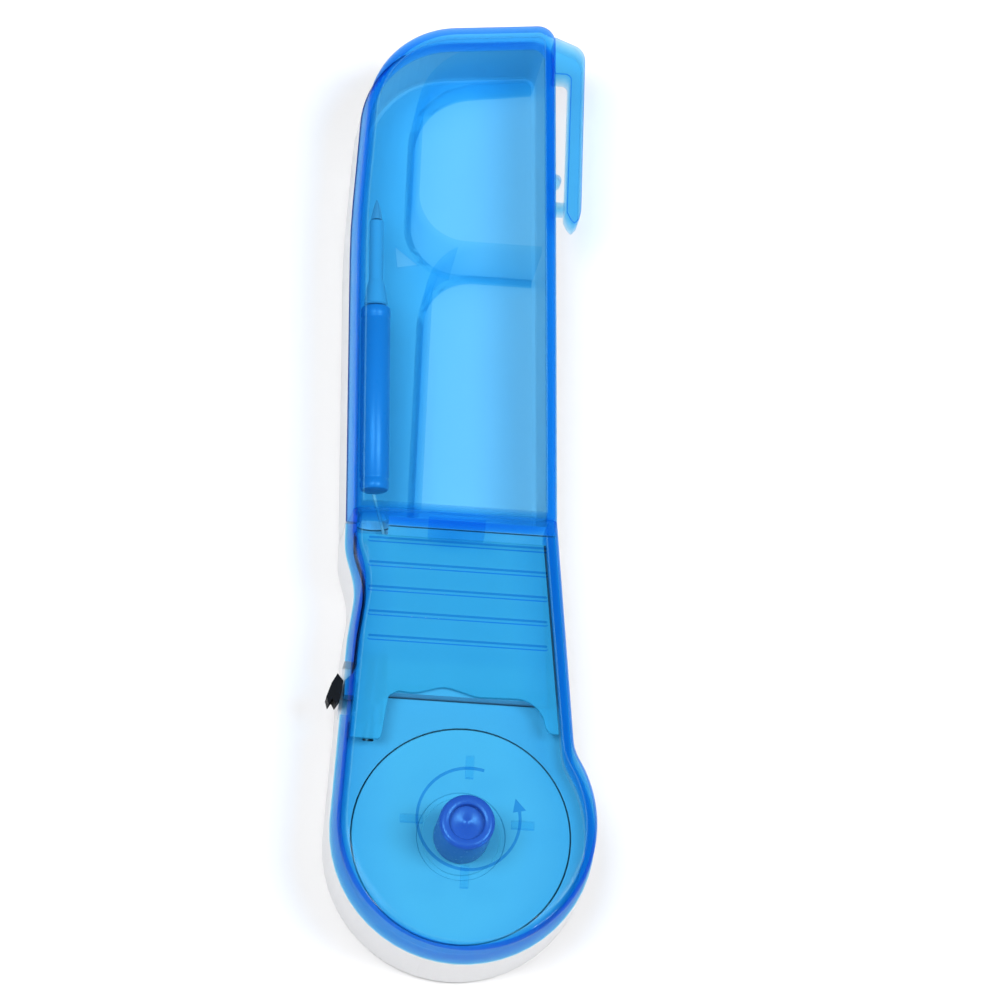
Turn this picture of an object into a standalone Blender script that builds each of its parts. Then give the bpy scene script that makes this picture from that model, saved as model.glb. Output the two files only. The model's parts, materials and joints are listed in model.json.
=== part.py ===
"""Hand line reel with a sprung spool, a chamber behind the grip and a pull-off cap.

The tool lies on its back: +Z points out of its clear front, +Y runs from the reel to the
cap, +X is to the right seen from the front. The origin is on the spool's axis, on the
rear face. Lengths are millimetres here and become metres in mesh_object().
"""
import math

import bmesh
import bpy
from mathutils import Vector

MM = 0.001

# Overall shape
DEPTH = 33.0            # rear face to front face
PARTING_Z = 19.5        # where the white rear shells meet the clear front shells
SEAM_Y = 62.3           # where the cap meets the lower body
REEL_R = 26.4           # round end, at the parting line
GAP = 0.3               # clearance between touching pieces
SEAM_REACH = 12.0       # how far from the seam an inset outline is still bent to meet it
WALL = 1.8              # shell wall
SKIN = 2.0              # front and rear faces of the shells
EDGE_R = 2.5            # rounding of the front edge
REAR_EDGE_R = 1.2       # rounding of the rear edge
DRAFT = 0.6             # how far the clear walls lean in up to the front edge
PROUD = 0.2             # how far the white shells stand outside the clear ones

# Side lines of the outline, at the parting line
SEAM_LEFT_X = -26.4
SEAM_RIGHT_X = 15.75
NECK_X = 20.8           # right side line at NECK_Y, just above the flare
NECK_Y = 19.0
NECK_R = 9.0
GROOVE = [(-26.35, 56.6, 14), (-23.7, 48.2, 15), (-24.9, 38.0, 40)]     # finger groove
CAP_TOP_Y = 168.2       # top right corner of the cap
CAP_TOP_X = 10.9
CAP_TOP_SLOPE = 0.105   # the top edge falls towards the left
CAP_BULGE = (-28.75, 124.0, 150)
CAP_LEFT_TOP_X = -26.9

# Ribs on the grip
RIB_COUNT = 5
RIB_FIRST_Y = 55.7
RIB_PITCH = 5.03
RIB_STEP_X = 0.22       # each rib starts this much further right than the one above
RIB_LEFT_X = -22.2
RIB_RIGHT_X = 12.8
RIB_HALF_WIDTH = 0.6
RIB_HEIGHT = 0.35

# Cross of stiffening webs inside the front cover, round the hub
WEB_R = (8.8, 13.3)     # inner and outer end
WEB_HALF_WIDTH = 0.8
WEB_HEIGHT = 1.6

# Deck of the rear casing round the reel, level with the reel's front flange
DECK_Z = (14.6, 16.0)
DECK_HOLE_R = 22.2
DECK_TOP_Y = 27.4
DECK_NOTCH = (-17.0, 21.8)      # right side and lower side of the trigger's recess in it
DECK_REACH = 1.26               # how far the deck is sunk into the casing's wall
RECESS_LEFT_X = -24.6
RECESS_WALL = 1.0
RECESS_Z = (11.9, 13.1)         # floor of the recess
LINE_SLOT_X = (-20.7, -18.5)    # where the line comes up through its lower side

# Reel
FLANGE_R = 21.6
DRUM_R = 13.2
DRUM_WALL = 1.2
SPOOL_Z = (4.0, 16.0)
FLANGE = 1.2
HUB_R = 5.6
HUB_TOP_Z = 30.6
AXLE_R = 1.6
ARBOR_R = 3.2
SPRING_TURNS = 5.0
SPRING_THICK = 0.35

# Line and its path up the left side
LINE_R = 0.35
LINE_X = -18.6
LINE_Z = 17.0
LINE_START = (-21.2, 0.5, 10.0)     # where it leaves the wound pack
FELT_R = 1.6
FELT_LENGTH = 3.2
EYELET_R = 1.4
EYELET_LENGTH = 1.2

# Chamber behind the grip, open towards the rear casing, and the clear lid over it
CHAMBER_LEFT_X = -21.7
CHAMBER_Y = (35.6, 58.6)
CHAMBER_STEP_X = -16.6  # right of here the chamber runs on down to the lid's wave
CHAMBER_STEP_Y = 30.4   # lower end of that stretch, outside the wall
CHAMBER_RIGHT = 6.0     # from the outer side line to the right side of its hollow
CHAMBER_RIGHT_GAP = 3.05        # and to its outer right side
CHAMBER_TOP_Z = 19.6
CHAMBER_WALL = 1.2
CHAMBER_ROOF = 0.7
LID_Z = (19.9, 21.1)
LID_GAP = 2.2           # from the outer side lines to its edges
LID_TOP_Y = 60.0        # short of the casing's wall at the seam
LID_LOW_LEFT = [(-17.4, 17.8), (-16.2, 26.8)]   # right side of the part over the trigger
WAVE = [(-14.4, 27.9, 1.5), (-11.0, 27.6, 8.0), (-5.0, 29.4, 6.0), (1.5, 27.6, 5.0),
        (14.0, 27.9, 6.0)]          # lower edge of the lid
LID_LOW_RIGHT = (21.0, 4.6)     # its low right end: height, and distance from the side line

# Trigger on the left wall
TRIGGER_PIVOT = (-22.0, 33.6)
TRIGGER_Z = (13.4, 18.6)
TRIGGER_SLOT_X = -23.2          # right end of the slot for it in the casing's wall
TRIGGER_SLOT_Y = (22.6, 33.6)
TRIGGER_PAD = [(-26.5, 31.2), (-27.6, 29.2), (-28.5, 26.4), (-28.0, 24.8), (-27.3, 26.0),
               (-26.6, 24.8), (-25.7, 26.2), (-25.3, 29.8)]
TRIGGER_ARM = [(-0.6, 1.5), (1.5, 1.5), (1.3, -3.0), (0.6, -11.2), (-0.5, -11.2), (-1.1, -6.6),
               (-2.9, -6.6), (-2.9, -3.6), (-1.0, -1.6)]       # from the pivot
TRIGGER_BORE_R = 0.9
TRIGGER_PIN_R = 0.7
ANVIL_X = -18.7         # the arm pinches the line against this face
ANVIL_Y = (22.0, 25.6)
SPRING_COIL_R = 1.0
SPRING_COILS = 3.5
SPRING_COIL_STEPS = 12
SPRING_WIRE_R = 0.2
SPRING_LEG = 5.0

# Anchor pin stowed in the cap; it leans to the left, and the cap slides off along it
PIN_LEAN_DEG = 2.4
PIN_X = -21.1           # at the foot of its handle
PIN_Z = 18.0
PIN_HANDLE_R = 3.0
PIN_HANDLE_Y = (69.6, 108.6)
PIN_COLLAR_R = 1.45
PIN_COLLAR_Y = (108.9, 127.0)
PIN_TIP_Y = 131.5
MOUTH_R = 3.5           # hole in the seam walls that the line and the pin's foot pass
MOUTH_REACH = 4.0       # how far the mouth is cut to either side of the seam

# Cap inside
PARTITION = 1.4
TOP_RIB = 3.2           # thickness of the upper compartment's top wall
CHANNEL_X = -13.3       # right side of the pin channel
SHELF_Y = 120.6         # partition between the two compartments
UPPER_BAY_X = -15.6     # left side of the upper compartment
UPPER_BAY_TOP = (158.3, 166.6)      # its top edge, at its left side and at BAY_OPEN_X
BAY_OPEN_X = 40.0       # the compartments' cutters run out past the right wall
BAY_END_GAP = 3.1       # from the outer side line to the right ends of the walls
BAY_R = 10.0
LINER_Z = (2.4, 26.5)
LINER_FLOOR = 1.4
LIGHT_HOLE = [(-18.6, 126.8), (-17.9, 121.9), (-13.4, 122.9)]   # in the floor, beside the shelf

# Tongue of the cap that enters the lower body
TONGUE = [(-10.5, -4.6), (0.7, -4.6), (1.1, 1.2), (-10.4, 1.2)]     # x, y from the seam
TONGUE_Z = (27.7, 29.4)

# Pocket clip; distances are from the cap's right wall
CLIP_Z = (20.6, 28.6)
CLIP_ROOT_Y = (158.0, 166.0)
CLIP_REACH = (5.8, 4.8)     # outer side of the strap, at its root and at its end
CLIP_STRAP = 3.0
CLIP_END_Y = 128.4
CLIP_STUB = 2.4             # rough stub past the end of the strap
DETENT = (135.9, 1.3)       # height along the wall and radius of the knob under the clip
DETENT_Z = (23.0, 26.0)
LEDGE_Y = (129.2, 131.0)
LEDGE_Z = (22.0, 26.6)
LEDGE_REACH = 1.7

ROUND_STEPS = 40


# ---------------------------------------------------------------- scene and materials

def clear_scene():
    for item in list(bpy.data.objects):
        bpy.data.objects.remove(item, do_unlink=True)


def material(name, color, roughness, metallic=0.0, alpha=1.0):
    made = bpy.data.materials.new(name)
    made.use_nodes = True
    shader = made.node_tree.nodes["Principled BSDF"]
    shader.inputs["Base Color"].default_value = (*color, 1.0)
    shader.inputs["Roughness"].default_value = roughness
    shader.inputs["Metallic"].default_value = metallic
    shader.inputs["Alpha"].default_value = alpha
    made.diffuse_color = (*color, alpha)
    return made


# ---------------------------------------------------------------- outlines

def arc(center, radius, start_deg, end_deg, step_deg=9.0):
    """Points on an arc, both ends included."""
    count = max(2, math.ceil(abs(end_deg - start_deg) / step_deg))
    angles = [math.radians(start_deg + (end_deg - start_deg) * i / count)
              for i in range(count + 1)]
    return [(center[0] + radius * math.cos(a), center[1] + radius * math.sin(a))
            for a in angles]


def rounded(corners, closed, step_deg=9.0):
    """A path through corners (x, y, radius), each corner turned into an arc."""
    points = []
    last = len(corners) - 1
    for i, (x, y, radius) in enumerate(corners):
        here = Vector((x, y))
        if radius == 0 or (not closed and i in (0, last)):
            points.append((x, y))
            continue
        before = Vector(corners[i - 1][:2]) - here
        after = Vector(corners[(i + 1) % (last + 1)][:2]) - here
        before.normalize()
        after.normalize()
        half = math.acos(max(-1.0, min(1.0, before.dot(after)))) / 2
        center = here + (before + after).normalized() * (radius / math.sin(half))
        reach = radius / math.tan(half)
        start = here + before * reach - center
        end = here + after * reach - center
        start_deg = math.degrees(math.atan2(start.y, start.x))
        turn = math.degrees(math.atan2(start.x * end.y - start.y * end.x, start.dot(end)))
        points += arc(center, radius, start_deg, start_deg + turn, step_deg)
    return points


def neck():
    """Centre of the neck's arc, which touches the right side line and the reel's circle."""
    top = Vector((SEAM_RIGHT_X, SEAM_Y))
    down = (Vector((NECK_X, NECK_Y)) - top).normalized()
    outward = Vector((-down.y, down.x))
    base = top + outward * NECK_R
    reach = REEL_R + NECK_R
    along = base.dot(down)
    center = base + down * (-along - math.sqrt(along ** 2 - base.dot(base) + reach ** 2))
    return center, outward


def body_path():
    """Lower body at the parting line, from the seam down the left side, round the reel
    and up the right side to the seam."""
    left = rounded([(SEAM_LEFT_X, SEAM_Y, 0), *GROOVE, (-REEL_R, 1.0, 0)],
                   closed=False, step_deg=4.0)
    center, outward = neck()
    touch_deg = math.degrees(math.atan2(center.y, center.x))
    start_deg = touch_deg + 180
    end_deg = math.degrees(math.atan2(-outward.y, -outward.x)) % 360
    reel = arc((0, 0), REEL_R, 180, 360 + touch_deg, 7.0)
    flare = arc(center, NECK_R, start_deg, end_deg, 9.0)[1:]
    return left + reel + flare + [(SEAM_RIGHT_X, SEAM_Y)]


def cap_path():
    """Cap at the parting line, from the seam up the right side, over the top and down
    the left side to the seam."""
    top_left_y = CAP_TOP_Y - CAP_TOP_SLOPE * (CAP_TOP_X - CAP_LEFT_TOP_X)
    return rounded([(SEAM_RIGHT_X, SEAM_Y, 0),
                    (CAP_TOP_X, CAP_TOP_Y, 4.2),
                    (CAP_LEFT_TOP_X - 0.3, top_left_y, 19.5),
                    CAP_BULGE,
                    (SEAM_LEFT_X, SEAM_Y, 0)], closed=False, step_deg=7.0)


def right_wall(y):
    """Where the cap's right wall is at the parting line."""
    share = (y - SEAM_Y) / (CAP_TOP_Y - SEAM_Y)
    return SEAM_RIGHT_X + (CAP_TOP_X - SEAM_RIGHT_X) * share


def right_wall_body(y):
    """Where the lower body's right wall is at the parting line."""
    share = (SEAM_Y - y) / (SEAM_Y - NECK_Y)
    return SEAM_RIGHT_X + (NECK_X - SEAM_RIGHT_X) * share


def inset(path, distance, end_y):
    """The open path moved inwards; near the seam it is carried on to the line y = end_y."""
    moved = []
    last = len(path) - 1
    for i, (x, y) in enumerate(path):
        along = (Vector(path[min(i + 1, last)]) - Vector(path[max(i - 1, 0)])).normalized()
        inward = Vector((-along.y, along.x))
        if i in (0, last):
            inward = Vector((math.copysign(1.0, inward.x), 0.0))
        point = Vector((x, y)) + inward * distance
        share = 1 - abs(SEAM_Y - point.y) / SEAM_REACH
        point.y += (end_y - SEAM_Y) * max(0.0, share)
        moved.append((point.x, point.y))
    return moved


# ---------------------------------------------------------------- meshes

def mesh_object(name, vertices, faces, finish):
    """A node: its mesh in metres, faces turned outwards, shaded smooth."""
    mesh = bpy.data.meshes.new(name)
    mesh.from_pydata([Vector(v) * MM for v in vertices], [], faces)
    edit = bmesh.new()
    edit.from_mesh(mesh)
    bmesh.ops.recalc_face_normals(edit, faces=edit.faces)
    edit.to_mesh(mesh)
    edit.free()
    node = bpy.data.objects.new(name, mesh)
    bpy.context.scene.collection.objects.link(node)
    mesh.materials.append(finish)
    mesh.shade_smooth()
    mesh.set_sharp_from_angle(angle=math.radians(35))
    return node


def stacked(rings):
    """Vertices and faces of a closed solid through rings of equally many points."""
    count = len(rings[0])
    vertices = [point for ring in rings for point in ring]
    faces = [tuple(reversed(range(count)))]
    for level in range(len(rings) - 1):
        low = level * count
        for i in range(count):
            j = (i + 1) % count
            faces.append((low + i, low + j, low + count + j, low + count + i))
    top = (len(rings) - 1) * count
    faces.append(tuple(range(top, top + count)))
    return vertices, faces


def prism(name, outline, low, high, finish):
    """An outline in the XY plane raised from z = low to z = high."""
    rings = [[(x, y, z) for x, y in outline] for z in (low, high)]
    return mesh_object(name, *stacked(rings), finish)


def turned(name, profile, finish, center=(0, 0), steps=ROUND_STEPS):
    """A closed profile (radius, z) turned round a Z axis; radius 0 is on the axis."""
    vertices = []
    rows = []
    for radius, z in profile:
        if radius == 0:
            rows.append([len(vertices)] * steps)
            vertices.append((center[0], center[1], z))
            continue
        rows.append(list(range(len(vertices), len(vertices) + steps)))
        for x, y in arc(center, radius, 0, 360, 360 / steps)[:-1]:
            vertices.append((x, y, z))
    faces = []
    for here, there in zip(rows, rows[1:] + rows[:1]):
        for i in range(steps):
            j = (i + 1) % steps
            corners = [here[i], here[j], there[j], there[i]]
            unique = list(dict.fromkeys(corners))
            if len(unique) > 2:
                faces.append(tuple(unique))
    return mesh_object(name, vertices, faces, finish)


def rod(name, profile, center, finish, steps=20):
    """A solid turned round a line along Y; the profile is (radius, y), from end to end."""
    x0, z0 = center
    rings = []
    for radius, y in profile:
        rings.append([(x, y, z) for x, z in arc((x0, z0), radius, 0, 360, 360 / steps)[:-1]])
    return mesh_object(name, *stacked(rings), finish)


def block(name, low, high, finish):
    corners = [(low[0], low[1]), (high[0], low[1]), (high[0], high[1]), (low[0], high[1])]
    return prism(name, corners, low[2], high[2], finish)


def cut(target, tool):
    """Take the tool's shape out of the target; the tool itself is no piece."""
    combine(target, tool, "DIFFERENCE")


def join(target, tool):
    combine(target, tool, "UNION")


def combine(target, tool, operation):
    modifier = target.modifiers.new(tool.name, "BOOLEAN")
    modifier.operation = operation
    modifier.solver = "EXACT"
    modifier.object = tool
    tool.hide_render = True
    tool.display_type = "WIRE"


def hang(node, pivot):
    """Put the node's origin on its joint's axis without moving its shape."""
    shift = Vector(pivot) * MM
    for vertex in node.data.vertices:
        vertex.co -= shift
    node.location = shift


# ---------------------------------------------------------------- shells

def shell(name, path, outside, inside, seam, finish):
    """A tray: the outside from its open edge to its face, then the inside, each a list of
    levels (inset, z, wall at the seam)."""
    vertices = [(x, y, z) for distance, z, back in outside + inside
                for x, y in inset(path, distance, seam(back))]
    count = len(path)
    faces = []
    for levels in (range(len(outside)), range(len(outside), len(outside) + len(inside))):
        for level in levels[:-1]:
            faces += band(level * count, (level + 1) * count, count)
        faces.append(tuple(range(levels[-1] * count, (levels[-1] + 1) * count)))
    faces += band(0, len(outside) * count, count)
    return mesh_object(name, vertices, faces, finish)


def band(first, second, count):
    return [(first + i, first + (i + 1) % count, second + (i + 1) % count, second + i)
            for i in range(count)]


def rounding(base_inset, edge_z, radius, sign, seam_wall, steps=5):
    """Levels of a rounded edge from the wall at edge_z to the flat face."""
    levels = []
    for i in range(steps + 1):
        a = math.pi / 2 * i / steps
        levels.append((base_inset + radius * (1 - math.cos(a)),
                       edge_z + sign * radius * math.sin(a), seam_wall))
    return levels


def front_levels():
    outside = [(0.0, PARTING_Z + GAP / 2, 0.0)]
    outside += rounding(DRAFT, DEPTH - EDGE_R, EDGE_R, 1, 0.0)
    inside = [(WALL, PARTING_Z + GAP / 2, WALL)]
    inside += rounding(DRAFT + WALL, DEPTH - SKIN - 1.2, 1.2, 1, WALL, 3)
    return outside, inside


def rear_levels():
    outside = [(-PROUD, PARTING_Z - GAP / 2, 0.0)]
    outside += rounding(-PROUD - 0.2, REAR_EDGE_R, REAR_EDGE_R, -1, 0.0, 4)
    inside = [(WALL - PROUD, PARTING_Z - GAP / 2, WALL)]
    inside += rounding(WALL, SKIN + 1.0, 1.0, -1, WALL, 2)
    return outside, inside


def body_seam(wall):
    return SEAM_Y - GAP / 2 - wall


def cap_seam(wall):
    return SEAM_Y + GAP / 2 + wall


def rounded_bar(x0, x1, y, half):
    """Outline of a bar along X with round ends."""
    return arc((x1, y), half, -90, 90, 30) + arc((x0, y), half, 90, 270, 30)


def cut_mouth(shell_node, finish):
    """Round hole at the seam that the line and the pin's foot pass."""
    ends = (SEAM_Y - MOUTH_REACH, SEAM_Y + MOUTH_REACH)
    cut(shell_node, rod(shell_node.name + "_mouth", [(MOUTH_R, y) for y in ends],
                        (PIN_X, PIN_Z), finish))


def make_front_cover(clear):
    outside, inside = front_levels()
    cover = shell("front_cover", body_path(), outside, inside, body_seam, clear)
    side = WALL + DRAFT     # the cover has no wall across the seam: the cap's tongue enters there
    cut(cover, block("seam_opening", (SEAM_LEFT_X + side, SEAM_Y - side, PARTING_Z - 1),
                     (SEAM_RIGHT_X - side, SEAM_Y + side, DEPTH - SKIN), clear))
    for i in range(RIB_COUNT):
        y = RIB_FIRST_Y - RIB_PITCH * i
        lean = RIB_STEP_X * i
        rib = prism("rib_%d" % i,
                    rounded_bar(RIB_LEFT_X + lean, RIB_RIGHT_X + lean, y, RIB_HALF_WIDTH),
                    DEPTH - SKIN / 2, DEPTH + RIB_HEIGHT, clear)
        join(cover, rib)
    for i in range(4):
        turn = math.pi / 2 * i
        ends = [(WEB_R[0], -WEB_HALF_WIDTH), (WEB_R[1], -WEB_HALF_WIDTH),
                (WEB_R[1], WEB_HALF_WIDTH), (WEB_R[0], WEB_HALF_WIDTH)]
        outline = [(x * math.cos(turn) - y * math.sin(turn),
                    x * math.sin(turn) + y * math.cos(turn)) for x, y in ends]
        under = DEPTH - SKIN
        join(cover, prism("web_%d" % i, outline, under - WEB_HEIGHT, under + SKIN / 2, clear))


def make_rear_casing(white):
    outside, inside = rear_levels()
    casing = shell("rear_casing", body_path(), outside, inside, body_seam, white)
    deck = prism("deck", inset(body_path(), DECK_REACH, SEAM_Y), *DECK_Z, white)
    cut(deck, block("deck_end", (-40, DECK_TOP_Y, 0), (40, SEAM_Y + 20, DEPTH), white))
    cut(deck, block("deck_notch", (-40, DECK_NOTCH[1], 0), (DECK_NOTCH[0], SEAM_Y, DEPTH), white))
    recess_x, recess_y = DECK_NOTCH
    side_x = recess_x + RECESS_WALL
    join(deck, block("recess_floor", (RECESS_LEFT_X, recess_y - GAP, RECESS_Z[0]),
                     (recess_x + GAP, DECK_TOP_Y, RECESS_Z[1]), white))
    join(deck, block("recess_side", (recess_x, recess_y - GAP, RECESS_Z[0]),
                     (side_x, DECK_TOP_Y, DECK_Z[1]), white))
    join(deck, block("recess_front", (RECESS_LEFT_X, recess_y - RECESS_WALL, RECESS_Z[0]),
                     (side_x, recess_y, DECK_Z[1]), white))
    cut(deck, block("line_slot", (LINE_SLOT_X[0], recess_y - 3.5, RECESS_Z[1] + GAP),
                    (LINE_SLOT_X[1], recess_y + GAP, DEPTH), white))
    cut(deck, turned("reel_hole", [(0, 0), (DECK_HOLE_R, 0), (DECK_HOLE_R, DEPTH), (0, DEPTH)],
                     white, steps=64))
    join(casing, deck)
    cut_mouth(casing, white)
    cut(casing, block("trigger_slot", (-32, TRIGGER_SLOT_Y[0], TRIGGER_Z[0] - 2 * GAP),
                      (TRIGGER_SLOT_X, TRIGGER_SLOT_Y[1], PARTING_Z + 1), white))


def make_cap_front(clear):
    outside, inside = front_levels()
    cap = shell("cap_front_shell", cap_path(), outside, inside, cap_seam, clear)
    cut_mouth(cap, clear)
    low, high = TONGUE_Z
    tongue = [(x, SEAM_Y + y) for x, y in TONGUE]
    join(cap, prism("tongue", tongue, low, high, clear))
    y, radius = DETENT
    center = (right_wall(y) - 0.3, y)
    join(cap, prism("detent", arc(center, radius, 0, 360, 30)[:-1], *DETENT_Z, clear))
    ledge_low, ledge_high = LEDGE_Y
    join(cap, block("ledge", (right_wall(ledge_low) - WALL / 2, ledge_low, LEDGE_Z[0]),
                    (right_wall(ledge_high) + LEDGE_REACH, ledge_high, LEDGE_Z[1]), clear))


def make_cap_rear(white):
    outside, inside = rear_levels()
    cap = shell("cap_rear_shell", cap_path(), outside, inside, cap_seam, white)
    cut_mouth(cap, white)


def make_cap_liner(clear):
    """Floor of the pin channel, with the walls of the two compartments on it."""
    outline = inset(cap_path(), WALL + DRAFT + 2 * GAP, cap_seam(WALL + GAP))
    liner = prism("cap_liner", outline, LINER_Z[0], LINER_Z[0] + LINER_FLOOR, clear)
    half = PARTITION / 2
    left_top, right_top = UPPER_BAY_TOP
    slope = (right_top - left_top) / (BAY_OPEN_X - UPPER_BAY_X)
    top_end_x = right_wall(left_top) - BAY_END_GAP
    top_end_y = left_top + slope * (top_end_x - UPPER_BAY_X) + TOP_RIB
    end_x = right_wall(SHELF_Y) - BAY_END_GAP
    foot = cap_seam(WALL + GAP)
    walls = {
        "upper_walls": [(UPPER_BAY_X - PARTITION, SHELF_Y - half, BAY_R + PARTITION),
                        (end_x, SHELF_Y - half, 0),
                        (top_end_x, top_end_y, 1.5),
                        (UPPER_BAY_X - PARTITION, left_top + TOP_RIB, BAY_R + 5)],
        "lower_walls": [(CHANNEL_X, foot, 0),
                        (end_x, foot, 0),
                        (end_x, SHELF_Y + half, 0),
                        (CHANNEL_X, SHELF_Y + half, BAY_R + PARTITION)]}
    bays = {
        "upper_bay": [(UPPER_BAY_X, SHELF_Y + half, BAY_R),
                      (BAY_OPEN_X, SHELF_Y + half, 0),
                      (BAY_OPEN_X, right_top, 0),
                      (UPPER_BAY_X, left_top, BAY_R + 3)],
        "lower_bay": [(CHANNEL_X + PARTITION, SEAM_Y, 0),
                      (BAY_OPEN_X, SEAM_Y, 0),
                      (BAY_OPEN_X, SHELF_Y - half, 0),
                      (CHANNEL_X + PARTITION, SHELF_Y - half, BAY_R)]}
    for name, corners in walls.items():
        join(liner, prism(name, rounded(corners, closed=True), *LINER_Z, clear))
    for name, corners in bays.items():
        cut(liner, prism(name, rounded(corners, closed=True), -5, DEPTH, clear))
    cut(liner, prism("light_hole", LIGHT_HOLE, 0, LINER_Z[0] + LINER_FLOOR + 1, clear))


def make_clip(clear):
    """Strap down the right side of the cap, with its root on the wall and a stub at its end."""
    root_low, root_high = CLIP_ROOT_Y
    root_reach, end_reach = CLIP_REACH
    corners = [(GAP, root_low, 0),
               (root_reach - CLIP_STRAP, root_low, 1.2),
               (end_reach - CLIP_STRAP, CLIP_END_Y, 0.5),
               (end_reach - CLIP_STRAP + 0.7, CLIP_END_Y - CLIP_STUB * 0.6, 0.3),
               (end_reach - 1.4, CLIP_END_Y - CLIP_STUB, 0.3),
               (end_reach - 0.4, CLIP_END_Y - CLIP_STUB * 0.5, 0.3),
               (end_reach, CLIP_END_Y + 0.6, 0.5),
               (root_reach, root_high - 2.4, 3.6),
               (GAP, root_high, 0)]
    outline = rounded([(right_wall(y) + x, y, radius) for x, y, radius in corners],
                      closed=True, step_deg=15)
    prism("pocket_clip", outline, *CLIP_Z, clear)


# ---------------------------------------------------------------- reel

def make_spool(pale):
    low, high = SPOOL_Z
    drum_in = DRUM_R - DRUM_WALL
    profile = [(AXLE_R + 0.3, high), (AXLE_R + 0.3, high - FLANGE), (drum_in, high - FLANGE),
               (drum_in, low), (FLANGE_R, low), (FLANGE_R, low + FLANGE),
               (DRUM_R, low + FLANGE), (DRUM_R, high - FLANGE), (FLANGE_R, high - FLANGE),
               (FLANGE_R, high)]
    turned("spool", profile, pale, steps=64)


def make_spool_hub(indigo):
    low = SPOOL_Z[1] + GAP
    top = HUB_TOP_Z
    profile = [(HUB_R, low), (HUB_R, top - 0.6), (HUB_R - 0.6, top), (3.4, top),
               (3.4, top - 1.4), (0, top - 1.4), (0, top - 4.0), (AXLE_R + 0.3, top - 4.0),
               (AXLE_R + 0.3, low)]
    turned("spool_hub", profile, indigo, steps=32)


def make_line_pack(fibre):
    low = SPOOL_Z[0] + FLANGE + GAP
    high = SPOOL_Z[1] - FLANGE - GAP
    profile = [(DRUM_R + GAP, low), (FLANGE_R - 1.6, low), (FLANGE_R - 0.9, (low + high) / 2),
               (FLANGE_R - 1.6, high), (DRUM_R + GAP, high)]
    turned("line_pack", profile, fibre)


def make_drum_cover(pale):
    """Ring that closes the open side of the drum behind the mainspring."""
    profile = [(ARBOR_R + 0.6, SPOOL_Z[0]), (DRUM_R - DRUM_WALL - GAP, SPOOL_Z[0]),
               (DRUM_R - DRUM_WALL - GAP, SPOOL_Z[0] + 0.8), (ARBOR_R + 0.6, SPOOL_Z[0] + 0.8)]
    turned("drum_cover", profile, pale)


def make_spring_arbor(white):
    low = SKIN + GAP
    profile = [(AXLE_R + GAP, low), (ARBOR_R, low), (ARBOR_R, SPOOL_Z[1] - FLANGE - GAP),
               (AXLE_R + GAP, SPOOL_Z[1] - FLANGE - GAP)]
    turned("spring_arbor", profile, white, steps=24)


def make_axle_pin(steel):
    profile = [(0, SKIN + GAP), (AXLE_R, SKIN + GAP), (AXLE_R, HUB_TOP_Z - 5.0),
               (AXLE_R - 0.4, HUB_TOP_Z - 4.4), (0, HUB_TOP_Z - 4.4)]
    turned("axle_pin", profile, steel, steps=20)


def make_mainspring(steel):
    """Flat strip wound in a spiral between the arbor and the drum."""
    first = ARBOR_R + GAP
    last = DRUM_R - DRUM_WALL - GAP - SPRING_THICK
    low = SPOOL_Z[0] + 1.4
    high = SPOOL_Z[1] - FLANGE - GAP * 2
    steps = int(SPRING_TURNS * 28)
    rings = []
    for i in range(steps + 1):
        share = i / steps
        angle = share * SPRING_TURNS * 2 * math.pi
        radius = first + (last - first) * share ** 0.75
        inner = (radius * math.cos(angle), radius * math.sin(angle))
        outer = tuple(c * (radius + SPRING_THICK) / radius for c in inner)
        rings.append([(*inner, low), (*outer, low), (*outer, high), (*inner, high)])
    mesh_object("mainspring", *stacked(rings), steel)


# ---------------------------------------------------------------- line and chamber

def make_chamber(white, felt):
    """Box of the full width of the grip; its left end stops above the trigger."""
    low_y, high_y = CHAMBER_Y
    end_y = DECK_TOP_Y + GAP
    outline = [(CHAMBER_LEFT_X, high_y), (CHAMBER_LEFT_X, low_y), (CHAMBER_STEP_X, low_y),
               (CHAMBER_STEP_X, end_y), (right_wall_body(low_y) - CHAMBER_RIGHT_GAP, end_y),
               (right_wall_body(high_y) - CHAMBER_RIGHT_GAP, high_y)]
    tray = prism("chamber_tray", outline, SKIN + GAP, CHAMBER_TOP_Z, white)
    roof_z = CHAMBER_TOP_Z - CHAMBER_ROOF
    for name, left, low in (("tray_bay", CHAMBER_LEFT_X, low_y),
                            ("tray_low_bay", CHAMBER_STEP_X, CHAMBER_STEP_Y)):
        cut(tray, block(name, (left + CHAMBER_WALL, low + CHAMBER_WALL, 0),
                        (right_wall_body(low_y) - CHAMBER_RIGHT, high_y - CHAMBER_WALL, roof_z),
                        white))
    cut(tray, rod("tray_line_holes", [(LINE_R + 0.35, low_y - 3), (LINE_R + 0.35, high_y + 3)],
                  (LINE_X, LINE_Z), white))
    wipers = {"felt_inlet": low_y + CHAMBER_WALL + GAP,
              "felt_outlet": high_y - CHAMBER_WALL - GAP - FELT_LENGTH}
    for name, y in wipers.items():
        wiper = rod(name, [(FELT_R, y), (FELT_R, y + FELT_LENGTH)], (LINE_X, LINE_Z), felt, 16)
        bore = [(LINE_R + 0.2, y - 1), (LINE_R + 0.2, y + FELT_LENGTH + 1)]
        cut(wiper, rod(name + "_bore", bore, (LINE_X, LINE_Z), felt, 12))


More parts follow.
